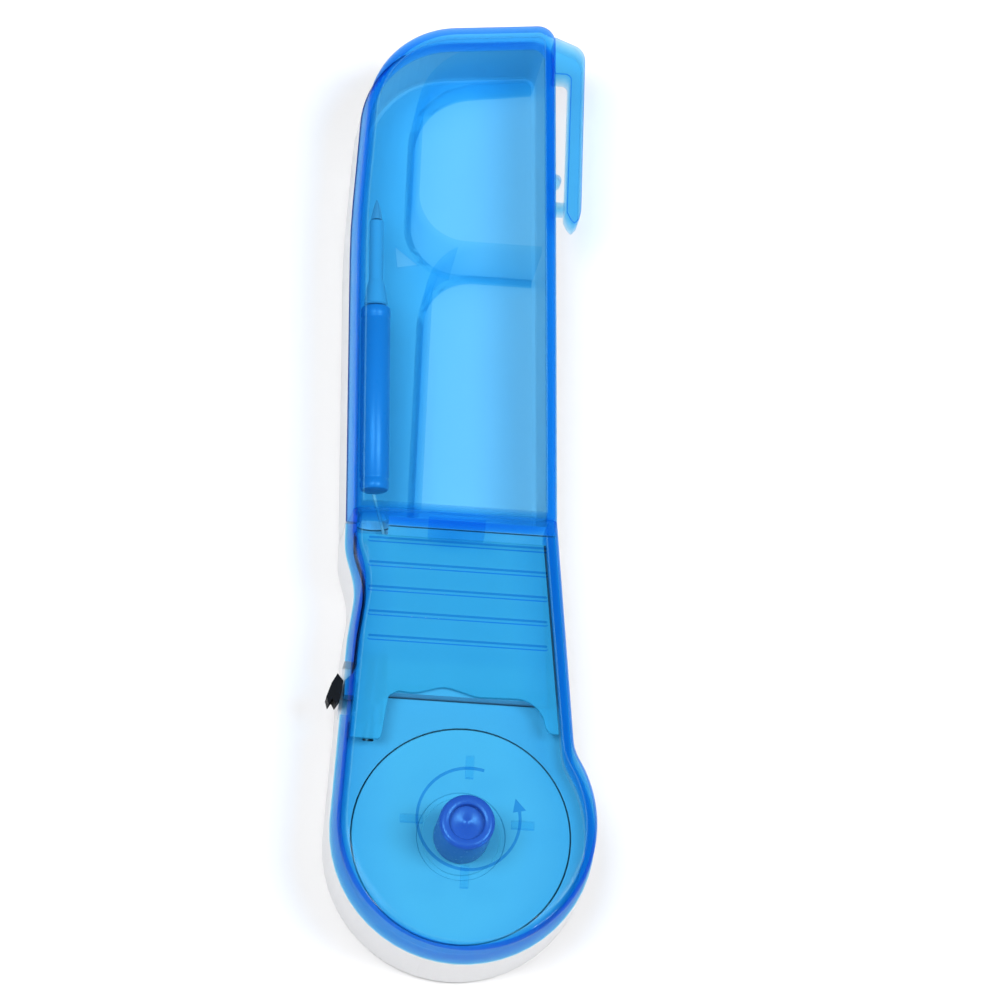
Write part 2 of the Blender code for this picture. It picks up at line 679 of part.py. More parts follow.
def make_chamber_lid(clear):
    """Second clear layer behind the grip; its lower edge runs in a shallow wave."""
    lid = prism("chamber_lid", inset(body_path(), LID_GAP, LID_TOP_Y), *LID_Z, clear)
    left_y = LID_LOW_LEFT[0][1]
    right_y, from_side = LID_LOW_RIGHT
    below = rounded([(-40, -40, 0), (-40, left_y, 0), *[(x, y, 1.0) for x, y in LID_LOW_LEFT],
                     *WAVE, (right_wall_body(right_y) - from_side, right_y, 2.0),
                     (40, right_y, 0), (40, -40, 0)], closed=True, step_deg=8)
    cut(lid, prism("lid_wave", below, 0, DEPTH, clear))


def make_line_eyelet(steel):
    """Metal ring in front of the chamber's line hole."""
    y = CHAMBER_Y[1] + GAP
    end_y = y + EYELET_LENGTH
    eyelet = rod("line_eyelet", [(EYELET_R, y), (EYELET_R, end_y)], (LINE_X, LINE_Z), steel, 16)
    bore_r = EYELET_R - 0.6
    cut(eyelet, rod("eyelet_bore", [(bore_r, y - 1), (bore_r, end_y + 1)], (LINE_X, LINE_Z),
                    steel, 12))


def make_line_strand(fibre):
    """The run of line from the wound pack to the anchor pin."""
    points = [Vector(LINE_START), Vector((LINE_X, CHAMBER_Y[0] - 2.0, LINE_Z)),
              Vector((LINE_X, CHAMBER_Y[1] + 2.4, LINE_Z)),
              Vector((PIN_X, PIN_HANDLE_Y[0] - 0.6, PIN_Z - 0.6))]
    rings = [[(p.x + dx, p.y, p.z + dz) for dx, dz in arc((0, 0), LINE_R, 0, 360, 45)[:-1]]
             for p in points]
    mesh_object("line_strand", *stacked(rings), fibre)


# ---------------------------------------------------------------- trigger

def make_trigger(black, dark, steel, white):
    px, py = TRIGGER_PIVOT
    low, high = TRIGGER_Z
    pivot = (px, py, (low + high) / 2)
    pad = prism("trigger_pad", TRIGGER_PAD, low, high, black)
    arm = prism("trigger_arm", [(px + x, py + y) for x, y in TRIGGER_ARM],
                low + 0.5, high - 0.5, dark)
    cut(arm, turned("arm_bore", [(0, 0), (TRIGGER_BORE_R, 0), (TRIGGER_BORE_R, 30), (0, 30)],
                    dark, (px, py), 16))
    turned("trigger_pin", [(0, SKIN + GAP), (TRIGGER_PIN_R, SKIN + GAP),
                           (TRIGGER_PIN_R, high + 0.4), (0, high + 0.4)], steel, (px, py), 16)
    for node in (pad, arm):
        hang(node, pivot)
    block("line_anvil", (ANVIL_X, ANVIL_Y[0], RECESS_Z[1] + GAP),
          (ANVIL_X + 1.2, ANVIL_Y[1], LINE_Z + 1.0), white)


def make_trigger_spring(steel):
    """Torsion spring round the trigger's pin, under the arm, with a leg at each end."""
    x, y = TRIGGER_PIVOT
    start_z = TRIGGER_Z[0] - SPRING_COILS - 0.3
    points = [Vector((x + 1.2, y - SPRING_LEG, start_z)),
              Vector((x + SPRING_COIL_R, y - 0.6, start_z))]
    for i in range(int(SPRING_COILS * SPRING_COIL_STEPS) + 1):
        turns = i / SPRING_COIL_STEPS
        angle = 2 * math.pi * turns
        points.append(Vector((x + SPRING_COIL_R * math.cos(angle),
                              y + SPRING_COIL_R * math.sin(angle), start_z + turns)))
    points.append(Vector((x - SPRING_COIL_R + 0.7, y - SPRING_LEG, points[-1].z + 0.1)))
    tube("trigger_spring", points, SPRING_WIRE_R, steel)


def tube(name, points, radius, finish, sides=6):
    """A round wire along points, square to its path at each of them."""
    rings = []
    side = None
    for i, point in enumerate(points):
        along = (points[min(i + 1, len(points) - 1)] - points[max(i - 1, 0)]).normalized()
        if side is None:
            side = along.orthogonal().normalized()
        side = (side - along * side.dot(along)).normalized()
        other = along.cross(side)
        rings.append([tuple(point + side * u + other * v)
                      for u, v in arc((0, 0), radius, 0, 360, 360 / sides)[:-1]])
    mesh_object(name, *stacked(rings), finish)


# ---------------------------------------------------------------- anchor pin

def make_anchor_pin(dark, pale, steel):
    y0, y1 = PIN_HANDLE_Y
    r = PIN_HANDLE_R
    center = (PIN_X, PIN_Z)
    handle = rod("pin_handle", [(r - 0.8, y0), (r, y0 + 0.8), (r, y1 - 0.8), (r - 0.8, y1)],
                 center, dark, 28)
    c0, c1 = PIN_COLLAR_Y
    collar = rod("pin_collar", [(2.4, c0), (1.9, c0 + 4.0), (PIN_COLLAR_R, c0 + 5.4),
                                (PIN_COLLAR_R, c1)], center, pale, 20)
    needle = rod("pin_needle", [(1.1, c1 + GAP), (1.0, c1 + 1.4), (0.15, PIN_TIP_Y)],
                 center, steel, 16)
    for piece in (handle, collar, needle):
        hang(piece, (PIN_X, y0, PIN_Z))
        piece.rotation_euler.z = math.radians(PIN_LEAN_DEG)


# ---------------------------------------------------------------- the whole tool

def build():
    clear_scene()
    clear = material("clear_blue", (0.03, 0.33, 0.85), 0.12, alpha=0.45)
    white = material("white_shell", (0.85, 0.86, 0.88), 0.35)
    pale = material("pale_spool", (0.72, 0.82, 0.90), 0.4)
    indigo = material("indigo_hub", (0.03, 0.08, 0.42), 0.3)
    dark = material("dark_blue_handle", (0.02, 0.16, 0.62), 0.3)
    black = material("black_trigger", (0.01, 0.01, 0.012), 0.3)
    steel = material("steel", (0.62, 0.62, 0.64), 0.3, metallic=1.0)
    felt = material("felt", (0.80, 0.79, 0.74), 0.95)
    fibre = material("line_fibre", (0.86, 0.85, 0.80), 0.9)

    make_rear_casing(white)
    make_front_cover(clear)
    make_cap_front(clear)
    make_cap_rear(white)
    make_cap_liner(clear)
    make_clip(clear)
    make_spool(pale)
    make_spool_hub(indigo)
    make_line_pack(fibre)
    make_drum_cover(pale)
    make_spring_arbor(white)
    make_axle_pin(steel)
    make_mainspring(steel)
    make_chamber(white, felt)
    make_chamber_lid(clear)
    make_line_eyelet(steel)
    make_line_strand(fibre)
    make_trigger(black, dark, steel, white)
    make_trigger_spring(steel)
    make_anchor_pin(dark, pale, steel)


build()
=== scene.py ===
"""Looks for the pocket line reel: clear blue front shells over white rear shells.

Lengths are millimetres until solid() turns them into metres; +Z points out of the clear
front, +Y from the reel to the cap, as in the CAD.
"""
import json
import math

import bmesh
import bpy
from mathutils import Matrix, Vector


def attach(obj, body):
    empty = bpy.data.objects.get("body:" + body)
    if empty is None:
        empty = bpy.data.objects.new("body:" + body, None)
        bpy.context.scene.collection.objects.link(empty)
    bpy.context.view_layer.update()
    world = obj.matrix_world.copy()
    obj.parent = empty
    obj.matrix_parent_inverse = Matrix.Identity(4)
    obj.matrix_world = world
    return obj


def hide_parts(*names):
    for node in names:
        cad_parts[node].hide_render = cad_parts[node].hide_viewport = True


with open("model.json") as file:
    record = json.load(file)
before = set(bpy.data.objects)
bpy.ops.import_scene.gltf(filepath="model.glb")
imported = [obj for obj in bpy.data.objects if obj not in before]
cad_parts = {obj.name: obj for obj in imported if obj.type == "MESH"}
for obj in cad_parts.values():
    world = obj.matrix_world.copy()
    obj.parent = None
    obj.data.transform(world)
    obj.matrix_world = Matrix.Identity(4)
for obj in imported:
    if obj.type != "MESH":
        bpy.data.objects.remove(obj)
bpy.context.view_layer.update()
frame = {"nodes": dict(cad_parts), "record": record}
nodes = frame["nodes"]
MM = 0.001


scene = bpy.context.scene

# Overall shape, as in the CAD
DEPTH = 33.0
PARTING_Z = 19.5
SEAM_Y = 62.3
REEL_R = 26.4
GAP = 0.3
SEAM_REACH = 12.0
WALL = 1.8
SKIN = 2.0
EDGE_R = 2.5
DRAFT = 0.6
SEAM_LEFT_X = -26.4
SEAM_RIGHT_X = 15.75
NECK_X = 20.8
NECK_Y = 19.0
NECK_R = 9.0
GROOVE = [(-26.35, 56.6, 14), (-23.7, 48.2, 15), (-24.9, 38.0, 40)]
CAP_TOP_Y = 168.2
CAP_TOP_X = 10.9
CAP_TOP_SLOPE = 0.105
CAP_BULGE = (-28.75, 124.0, 150)
CAP_LEFT_TOP_X = -26.9
RIB_COUNT = 5
RIB_FIRST_Y = 55.7
RIB_PITCH = 5.03
RIB_STEP_X = 0.22
RIB_LEFT_X = -22.2
RIB_RIGHT_X = 12.8
RIB_HALF_WIDTH = 0.6
RIB_HEIGHT = 0.35
WEB_R = (8.8, 13.3)
WEB_HALF_WIDTH = 0.8
WEB_HEIGHT = 1.6
SHELF_Y = 120.6
PARTITION = 1.4
TOP_RIB = 3.2
CHANNEL_X = -13.3
UPPER_BAY_X = -15.6
UPPER_BAY_TOP = (158.3, 166.6)
BAY_OPEN_X = 40.0
BAY_END_GAP = 3.1
BAY_R = 10.0
LINER_Z = (2.4, 26.5)
LINER_FLOOR = 1.4

CLIP_Z = (20.6, 28.6)
LID_Z = (19.9, 21.1)
LID_GAP = 2.2
LID_TOP_Y = 60.0
LID_LOW_LEFT = [(-17.4, 17.8), (-16.2, 26.8)]
LID_LOW_RIGHT = (21.0, 4.6)
WAVE = [(-14.4, 27.9, 1.5), (-11.0, 27.6, 8.0), (-5.0, 29.4, 6.0), (1.5, 27.6, 5.0),
        (14.0, 27.9, 6.0)]
LIGHT_HOLE = [(-18.6, 126.8), (-17.9, 121.9), (-13.4, 122.9)]
TONGUE = [(-10.5, -4.6, 0.5), (0.7, -4.6, 0.5), (1.1, 1.2, 0), (-10.4, 1.2, 0)]
TONGUE_Z = (27.7, 29.4)
MOUTH_R = 3.5
MOUTH_REACH = 4.0
DETENT = (135.9, 1.3)
DETENT_Z = (23.0, 26.0)
LEDGE_Y = (129.2, 131.0)
LEDGE_Z = (22.0, 26.6)
LEDGE_REACH = 1.7
PIN = (-21.1, 18.0)
PIN_FOOT_Y = 69.6
PIN_LEAN_DEG = 2.4
LIP = 0.2               # the cap's clear shell stands out this far along its open edge
LIP_HEIGHT = 0.3
INNER_R = 1.2           # rounding of a clear shell's inside

# Colour of the deck inside the white casing, and of what is seen level with it
DECK = (0.25, 0.55, 0.62)
# What single faces of the clear pieces take away from the light, red, green and blue: painted
# shade on the ribs, the arrow and the rounded rims, and the seam's darker line
MARK = "mark"
# Painted shade: the dark lines that refraction draws along the ribs and round the arrow
PAINTED_RELIEF_SHADE = (0.6, 0.38, 0.14)
# Painted shade on the rounded rims of the cover, the cap's top end and the clip
PAINTED_RIM_SHADE = (0.62, 0.42, 0.02)
# Painted shade on the cap's rounded rims, lighter than on the cover
PAINTED_CAP_RIM_SHADE = (0.3, 0.15, 0.0)
SEAM = (0.2, 0.1, 0.0)


# ---------------------------------------------------------------- materials

def new_material(name):
    made = bpy.data.materials.new(name)
    made.use_nodes = True
    tree = made.node_tree
    tree.nodes.clear()
    return made, tree, tree.nodes.new("ShaderNodeOutputMaterial")


def noise(tree, scale, detail=3.0, stretch=(1, 1, 1), rough=0.5):
    """Noise in the object's own metres; scale is in features a metre."""
    where = tree.nodes.new("ShaderNodeTexCoord")
    place = tree.nodes.new("ShaderNodeMapping")
    place.inputs["Scale"].default_value = stretch
    tree.links.new(where.outputs["Object"], place.inputs["Vector"])
    made = tree.nodes.new("ShaderNodeTexNoise")
    made.inputs["Scale"].default_value = scale
    made.inputs["Detail"].default_value = detail
    made.inputs["Roughness"].default_value = rough
    tree.links.new(place.outputs["Vector"], made.inputs["Vector"])
    return made.outputs["Fac"]


def spread(tree, value, low, high):
    """Map a 0 to 1 value on to low to high."""
    made = tree.nodes.new("ShaderNodeMapRange")
    made.inputs["To Min"].default_value = low
    made.inputs["To Max"].default_value = high
    tree.links.new(value, made.inputs["Value"])
    return made.outputs["Result"]


def times(tree, first, second):
    made = tree.nodes.new("ShaderNodeMath")
    made.operation = "MULTIPLY"
    tree.links.new(first, made.inputs[0])
    if isinstance(second, float):
        made.inputs[1].default_value = second
    else:
        tree.links.new(second, made.inputs[1])
    return made.outputs[0]


def bump(tree, height, strength, distance):
    made = tree.nodes.new("ShaderNodeBump")
    made.inputs["Strength"].default_value = strength
    made.inputs["Distance"].default_value = distance
    tree.links.new(height, made.inputs["Height"])
    return made.outputs["Normal"]


def two_tone(tree, value, first, second):
    made = tree.nodes.new("ShaderNodeMix")
    made.data_type = "RGBA"
    made.inputs["A"].default_value = (*first, 1)
    made.inputs["B"].default_value = (*second, 1)
    tree.links.new(value, made.inputs["Factor"])
    return made.outputs["Result"]


def clear_blue(name, soak=1.0, tint=(0.825, 0.926, 1.0), shine=0.25, side=0.12):
    """Clear plastic: a tint at each face, deeper where it is seen edge on, absorption on the
    way through and a faint gloss. The face attribute MARK deepens the tint of single faces;
    a second material could not, as a ray that enters by one and leaves by the other would
    carry the absorption on."""
    made, tree, out = new_material(name)
    see = tree.nodes.new("ShaderNodeBsdfTransparent")
    flow = noise(tree, 60, stretch=(1, 0.35, 1))
    darker = tuple(c * (0.97 if i == 0 else 0.99) for i, c in enumerate(tint))
    flat = two_tone(tree, flow, darker, tuple(min(1, c * 1.02) for c in tint))
    look = tree.nodes.new("ShaderNodeLayerWeight")
    look.inputs["Blend"].default_value = 0.5
    steep = tree.nodes.new("ShaderNodeMath")
    steep.operation = "POWER"
    tree.links.new(look.outputs["Facing"], steep.inputs[0])
    steep.inputs[1].default_value = 3.0
    deep = tree.nodes.new("ShaderNodeMix")
    deep.data_type = "RGBA"
    tree.links.new(times(tree, steep.outputs[0], side), deep.inputs["Factor"])
    tree.links.new(flat, deep.inputs["A"])
    deep.inputs["B"].default_value = (0.2, 0.55, 0.93, 1)
    mark = tree.nodes.new("ShaderNodeAttribute")
    mark.attribute_name = MARK
    less = tree.nodes.new("ShaderNodeMix")
    less.data_type = "RGBA"
    less.blend_type = "SUBTRACT"
    less.inputs["Factor"].default_value = 1.0
    less.inputs["A"].default_value = (1, 1, 1, 1)
    tree.links.new(mark.outputs["Color"], less.inputs["B"])
    marked = tree.nodes.new("ShaderNodeMix")
    marked.data_type = "RGBA"
    marked.blend_type = "MULTIPLY"
    marked.inputs["Factor"].default_value = 1.0
    tree.links.new(deep.outputs["Result"], marked.inputs["A"])
    tree.links.new(less.outputs["Result"], marked.inputs["B"])
    tree.links.new(marked.outputs["Result"], see.inputs["Color"])
    gloss = tree.nodes.new("ShaderNodeBsdfGlossy")
    tree.links.new(spread(tree, noise(tree, 900, 5, (1, 0.2, 1)), 0.04, 0.14),
                   gloss.inputs["Roughness"])
    wavy = bump(tree, noise(tree, 220, 2), 0.12, 0.0004)
    tree.links.new(wavy, gloss.inputs["Normal"])
    edge = tree.nodes.new("ShaderNodeFresnel")
    edge.inputs["IOR"].default_value = 1.35
    mix = tree.nodes.new("ShaderNodeMixShader")
    tree.links.new(times(tree, edge.outputs[0], shine), mix.inputs[0])
    tree.links.new(see.outputs[0], mix.inputs[1])
    tree.links.new(gloss.outputs[0], mix.inputs[2])
    tree.links.new(mix.outputs[0], out.inputs["Surface"])
    body = tree.nodes.new("ShaderNodeVolumeAbsorption")
    body.inputs["Color"].default_value = (0.02, 0.738, 0.96, 1)
    body.inputs["Density"].default_value = 267 * soak
    tree.links.new(body.outputs[0], out.inputs["Volume"])
    return made


def painted_tops(tree, base, color, axis, middle, reach):
    """The base colour, with another on the faces that look up, where they are within reach
    (mm) of middle along an axis."""
    where = tree.nodes.new("ShaderNodeTexCoord")
    axes = tree.nodes.new("ShaderNodeSeparateXYZ")
    tree.links.new(where.outputs["Object"], axes.inputs[0])
    level = tree.nodes.new("ShaderNodeMath")
    level.operation = "COMPARE"
    tree.links.new(axes.outputs[axis], level.inputs[0])
    level.inputs[1].default_value = middle * MM
    level.inputs[2].default_value = reach * MM
    facing = tree.nodes.new("ShaderNodeNewGeometry")
    upward = tree.nodes.new("ShaderNodeSeparateXYZ")
    tree.links.new(facing.outputs["Normal"], upward.inputs[0])
    top = tree.nodes.new("ShaderNodeMath")
    top.operation = "GREATER_THAN"
    tree.links.new(upward.outputs["Z"], top.inputs[0])
    top.inputs[1].default_value = 0.5
    made = tree.nodes.new("ShaderNodeMix")
    made.data_type = "RGBA"
    tree.links.new(times(tree, level.outputs[0], top.outputs[0]), made.inputs["Factor"])
    tree.links.new(base, made.inputs["A"])
    made.inputs["B"].default_value = (*color, 1)
    return made.outputs["Result"]


def milky(name, color, veil):
    """Frosted plate: clear tinted plastic with a share of matt scatter."""
    made, tree, out = new_material(name)
    see = tree.nodes.new("ShaderNodeBsdfTransparent")
    see.inputs["Color"].default_value = (0.86, 0.96, 1.0, 1)
    matt = tree.nodes.new("ShaderNodeBsdfDiffuse")
    drift = noise(tree, 90, 3, (1, 0.4, 1))
    low = tuple(c * 0.95 for c in color)
    tree.links.new(two_tone(tree, drift, low, color), matt.inputs["Color"])
    mix = tree.nodes.new("ShaderNodeMixShader")
    mix.inputs[0].default_value = veil
    tree.links.new(see.outputs[0], mix.inputs[1])
    tree.links.new(matt.outputs[0], mix.inputs[2])
    tree.links.new(mix.outputs[0], out.inputs["Surface"])
    return made


def plastic(name, color, rough, grain=0.1, vary=0.03, metal=0.0, scale=1500, stretch=(1, 1, 1),
            glow_through=0.0, tops=None):
    """Moulded plastic or metal: a slow drift in colour, a fine grain and uneven gloss."""
    made, tree, out = new_material(name)
    shader = tree.nodes.new("ShaderNodeBsdfPrincipled")
    low = tuple(c * (1 - vary) for c in color)
    high = tuple(min(1, c * (1 + vary)) for c in color)
    base = two_tone(tree, noise(tree, 70, 4), low, high)
    if tops:
        base = painted_tops(tree, base, *tops)
    tree.links.new(base, shader.inputs["Base Color"])
    fine = noise(tree, scale, 4, stretch)
    tree.links.new(spread(tree, fine, max(0.03, rough - 0.07), rough + 0.07),
                   shader.inputs["Roughness"])
    tree.links.new(bump(tree, fine, grain, 0.0001), shader.inputs["Normal"])
    shader.inputs["Metallic"].default_value = metal
    surface = shader.outputs[0]
    if glow_through:
        through = tree.nodes.new("ShaderNodeBsdfTranslucent")
        through.inputs["Color"].default_value = (*color, 1)
        mix = tree.nodes.new("ShaderNodeMixShader")
        mix.inputs[0].default_value = glow_through
        tree.links.new(surface, mix.inputs[1])
        tree.links.new(through.outputs[0], mix.inputs[2])
        surface = mix.outputs[0]
    tree.links.new(surface, out.inputs["Surface"])
    return made


def fibrous(name, color, scale, stretch, depth):
    made, tree, out = new_material(name)
    shader = tree.nodes.new("ShaderNodeBsdfPrincipled")
    strands = noise(tree, scale, 6, stretch, 0.7)
    tree.links.new(two_tone(tree, strands, tuple(c * 0.72 for c in color), color),
                   shader.inputs["Base Color"])
    shader.inputs["Roughness"].default_value = 0.95
    shader.inputs["Sheen Weight"].default_value = 0.3
    tree.links.new(bump(tree, strands, 0.8, depth), shader.inputs["Normal"])
    tree.links.new(shader.outputs[0], out.inputs["Surface"])
    return made


blue = clear_blue("clear_blue")
blue_plate = clear_blue("clear_blue_plate", 0.25, (0.86, 0.97, 1.0), 0.1, 0.2)
blue_thin = clear_blue("clear_blue_thin", 0.15, (0.9, 0.975, 1.0), 0.05, 0.1)
lid_blue = milky("lid_blue", (0.27, 0.74, 0.80), 0.55)
# Painted shadow: opaque navy for the shaded gap along the cap's parting line
painted_gap_shadow = plastic("painted_gap_shadow", (0.01, 0.03, 0.2), 0.4)
white = plastic("white_shell", (0.86, 0.87, 0.89), 0.35, 0.08, 0.02)
cap_white = plastic("cap_white", (0.88, 0.89, 0.91), 0.35, 0.08, 0.02, glow_through=0.12)
casing_white = plastic("casing_white", (0.76, 0.765, 0.785), 0.35, 0.08, 0.02,
                       tops=(DECK, "Z", 16.2, 3.25))
arm_blue = plastic("arm_blue", (0.1, 0.4, 0.6), 0.35, 0.08, 0.08)
pin_blue = plastic("collar_blue", (0.2, 0.5, 0.66), 0.35, 0.08, 0.05)
pin_steel = plastic("pin_steel", (0.3, 0.52, 0.64), 0.35, 0.1, 0.05, 0.2)
tray = plastic("tray_white", (0.74, 0.70, 0.76), 0.4, 0.08, 0.03,
               tops=(DECK, "Y", 28.6, 1.1))
anvil_white = plastic("anvil_white", (0.74, 0.70, 0.76), 0.4, 0.08, 0.03)
pale = plastic("pale_plastic", (0.28, 0.60, 0.64), 0.4, 0.1, 0.03)
indigo = plastic("indigo_plastic", (0.10, 0.14, 0.45), 0.25, 0.06, 0.12)
dark = plastic("dark_blue_plastic", (0.04, 0.3, 0.6), 0.3, 0.06, 0.1)
black = plastic("black_plastic", (0.004, 0.004, 0.005), 0.6, 0.15, 0.2)
black.node_tree.nodes["Principled BSDF"].inputs["Specular IOR Level"].default_value = 0.12
steel = plastic("steel", (0.6, 0.6, 0.62), 0.28, 0.12, 0.06, 1.0, 1200, (6, 6, 0.4))
felt = fibrous("felt", (0.8, 0.79, 0.74), 3000, (1, 1, 1), 0.0003)
fibre = fibrous("line_fibre", (0.86, 0.85, 0.8), 2500, (1, 1, 5), 0.0002)
looks = {"clear_blue": blue, "white_shell": white, "pale_plastic": pale, "indigo_plastic": indigo,
         "dark_blue_plastic": dark, "black_plastic": black, "steel": steel, "felt": felt,
         "line_fibre": fibre}
bodies = {}
for entry in frame["record"]["subparts"]:
    node = nodes[entry["node"]]
    node.data.materials.clear()
    node.data.materials.append(looks[entry["material_slot"]])
for name, look in (("chamber_tray", tray), ("line_anvil", anvil_white), ("trigger_arm", arm_blue),
                   ("cap_rear_shell", cap_white), ("rear_casing", casing_white)):
    nodes[name].data.materials[0] = look
for body, members in frame["record"]["behaviour"]["bodies"].items():
    for member in members:
        bodies[member] = body


# ---------------------------------------------------------------- outlines

def arc(center, radius, start_deg, end_deg, step_deg=3.0):
    count = max(2, math.ceil(abs(end_deg - start_deg) / step_deg))
    angles = [math.radians(start_deg + (end_deg - start_deg) * i / count)
              for i in range(count + 1)]
    return [(center[0] + radius * math.cos(a), center[1] + radius * math.sin(a))
            for a in angles]


def rounded(corners, closed=True, step_deg=6.0):
    """A path through corners (x, y, radius), each corner turned into an arc."""
    points = []
    last = len(corners) - 1
    for i, (x, y, radius) in enumerate(corners):
        here = Vector((x, y))
        if radius == 0 or (not closed and i in (0, last)):
            points.append((x, y))
            continue
        before = (Vector(corners[i - 1][:2]) - here).normalized()
        after = (Vector(corners[(i + 1) % (last + 1)][:2]) - here).normalized()
        half = math.acos(max(-1.0, min(1.0, before.dot(after)))) / 2
        center = here + (before + after).normalized() * (radius / math.sin(half))
        reach = radius / math.tan(half)
        start = here + before * reach - center
        end = here + after * reach - center
        start_deg = math.degrees(math.atan2(start.y, start.x))
        turn = math.degrees(math.atan2(start.x * end.y - start.y * end.x, start.dot(end)))
        points += arc(center, radius, start_deg, start_deg + turn, step_deg)
    return points


def body_path():
    left = rounded([(SEAM_LEFT_X, SEAM_Y, 0), *GROOVE, (-REEL_R, 1.0, 0)], closed=False,
                   step_deg=1.5)
    top = Vector((SEAM_RIGHT_X, SEAM_Y))
    down = (Vector((NECK_X, NECK_Y)) - top).normalized()
    outward = Vector((-down.y, down.x))
    base = top + outward * NECK_R
    reach = REEL_R + NECK_R
    along = base.dot(down)
    center = base + down * (-along - math.sqrt(along ** 2 - base.dot(base) + reach ** 2))
    touch_deg = math.degrees(math.atan2(center.y, center.x))
    end_deg = math.degrees(math.atan2(-outward.y, -outward.x)) % 360
    reel = arc((0, 0), REEL_R, 180, 360 + touch_deg, 2.5)
    flare = arc(center, NECK_R, touch_deg + 180, end_deg, 3.0)[1:]
    return left + reel + flare + [(SEAM_RIGHT_X, SEAM_Y)]


def cap_path():
    top_left_y = CAP_TOP_Y - CAP_TOP_SLOPE * (CAP_TOP_X - CAP_LEFT_TOP_X)
    return rounded([(SEAM_RIGHT_X, SEAM_Y, 0),
                    (CAP_TOP_X, CAP_TOP_Y, 4.2),
                    (CAP_LEFT_TOP_X - 0.3, top_left_y, 19.5),
                    CAP_BULGE,
                    (SEAM_LEFT_X, SEAM_Y, 0)], closed=False, step_deg=3.0)


def inset(path, distance, end_y):
    """The open path moved inwards; near the seam it is carried on to the line y = end_y."""
    moved = []
    last = len(path) - 1
    for i, (x, y) in enumerate(path):
        along = (Vector(path[min(i + 1, last)]) - Vector(path[max(i - 1, 0)])).normalized()
        inward = Vector((-along.y, along.x))
        if i in (0, last):
            inward = Vector((math.copysign(1.0, inward.x), 0.0))
        point = Vector((x, y)) + inward * distance
        share = 1 - abs(SEAM_Y - point.y) / SEAM_REACH
        point.y += (end_y - SEAM_Y) * max(0.0, share)
        moved.append((point.x, point.y))
    return moved


def right_wall(y):
    """Where the cap's right wall is at the parting line."""
    share = (y - SEAM_Y) / (CAP_TOP_Y - SEAM_Y)
    return SEAM_RIGHT_X + (CAP_TOP_X - SEAM_RIGHT_X) * share


def right_wall_body(y):
    share = (SEAM_Y - y) / (SEAM_Y - NECK_Y)
    return SEAM_RIGHT_X + (NECK_X - SEAM_RIGHT_X) * share


# ---------------------------------------------------------------- meshes

def solid(name, vertices, faces, look, sharp_deg=35):
    mesh = bpy.data.meshes.new(name)
    mesh.from_pydata([Vector(v) * MM for v in vertices], [], faces)
    edit = bmesh.new()
    edit.from_mesh(mesh)
    bmesh.ops.recalc_face_normals(edit, faces=edit.faces)
    edit.to_mesh(mesh)
    edit.free()
    made = bpy.data.objects.new(name, mesh)
    scene.collection.objects.link(made)
    mesh.materials.append(look)
    smooth(mesh, sharp_deg)
    return made


def smooth(mesh, sharp_deg=35):
    mesh.shade_smooth()
    mesh.set_sharp_from_angle(angle=math.radians(sharp_deg))


def stacked(rings):
    count = len(rings[0])
    vertices = [point for ring in rings for point in ring]
    faces = [tuple(reversed(range(count)))]
    for level in range(len(rings) - 1):
        low = level * count
        faces += band(low, low + count, count)
    top = (len(rings) - 1) * count
    faces.append(tuple(range(top, top + count)))
    return vertices, faces


def band(first, second, count):
    return [(first + i, first + (i + 1) % count, second + (i + 1) % count, second + i)
            for i in range(count)]


def prism(name, outline, low, high, look):
    return solid(name, *stacked([[(x, y, z) for x, y in outline] for z in (low, high)]), look)


def box(name, low, high, look):
    corners = [(low[0], low[1]), (high[0], low[1]), (high[0], high[1]), (low[0], high[1])]
    return prism(name, corners, low[2], high[2], look)


def turned(name, profile, look, center=(0, 0), steps=96):
    """A closed profile (radius, z) turned round a Z axis; radius 0 is on the axis."""
    vertices = []
    rows = []
    for radius, z in profile:
        if radius == 0:
            rows.append([len(vertices)] * steps)
            vertices.append((center[0], center[1], z))
            continue
        rows.append(list(range(len(vertices), len(vertices) + steps)))
        vertices += [(x, y, z) for x, y in arc(center, radius, 0, 360, 360 / steps)[:-1]]
    faces = []
    for here, there in zip(rows, rows[1:] + rows[:1]):
        for i in range(steps):
            j = (i + 1) % steps
            unique = list(dict.fromkeys([here[i], here[j], there[j], there[i]]))
            if len(unique) > 2:
                faces.append(tuple(unique))
    return solid(name, vertices, faces, look)


def rod(name, profile, look, steps=48, lean_deg=0.0):
    """A solid turned round the line along Y through PIN; the profile is (radius, y), from end
    to end. A lean turns it about the pin's foot."""
    x0 = PIN[0]
    lean = math.radians(lean_deg)
    rings = []
    for radius, y in profile:
        along = y - PIN_FOOT_Y
        rings.append([(x0 + (x - x0) * math.cos(lean) - along * math.sin(lean),
                       PIN_FOOT_Y + (x - x0) * math.sin(lean) + along * math.cos(lean), z)
                      for x, z in arc(PIN, radius, 0, 360, 360 / steps)[:-1]])
    return solid(name, *stacked(rings), look)


def combine(target, tool, operation):
    modifier = target.modifiers.new(tool.name, "BOOLEAN")
    modifier.operation = operation
    modifier.solver = "EXACT"
    modifier.object = tool
    tool.hide_render = True


def settle(target, sharp_deg=35):
    """Bake the target's modifiers into its mesh and drop the tools."""
    tools = [m.object for m in target.modifiers if m.type == "BOOLEAN"]
    graph = bpy.context.evaluated_depsgraph_get()
    mesh = bpy.data.meshes.new_from_object(target.evaluated_get(graph))
    target.modifiers.clear()
    target.data = mesh
    for tool in tools:
        bpy.data.objects.remove(tool, do_unlink=True)
    smooth(mesh, sharp_deg)
    return target


def soften(target, width, segments=3, angle_deg=30):
    """Round the edges sharper than angle_deg."""
    modifier = target.modifiers.new("soft_edges", "BEVEL")
    modifier.width = width * MM
    modifier.segments = segments
    modifier.limit_method = "ANGLE"
    modifier.angle_limit = math.radians(angle_deg)
    return settle(target, 40)


